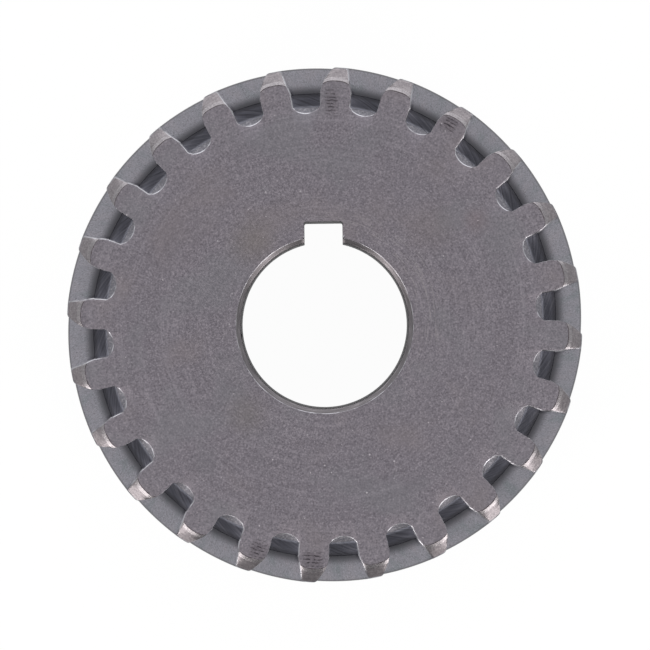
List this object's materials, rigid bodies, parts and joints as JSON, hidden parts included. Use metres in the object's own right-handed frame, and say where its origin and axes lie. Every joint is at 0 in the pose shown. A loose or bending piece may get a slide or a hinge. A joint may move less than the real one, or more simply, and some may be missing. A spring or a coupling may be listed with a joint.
{
  "type": "oil pump gear",
  "caption": "Right-hand helical gear in one piece of steel, with a through bore, a keyway and bevelled tooth ends; it drives an oil pump.",
  "frame": {"origin": "on the axis, in the plane of the back face, which the gear rests on", "axes": "+Z along the bore axis towards the front face; +Y through the middle of the keyway"},
  "size_m": [0.0674, 0.0674, 0.044],
  "materials": {
    "machined_steel": "turned and ground steel with a light stain film, blue-grey finished flanks and dark as-cut roots"
  },
  "bodies": {
    "root": {"oil_pump_gear": "machined_steel"}
  },
  "joints": []
}
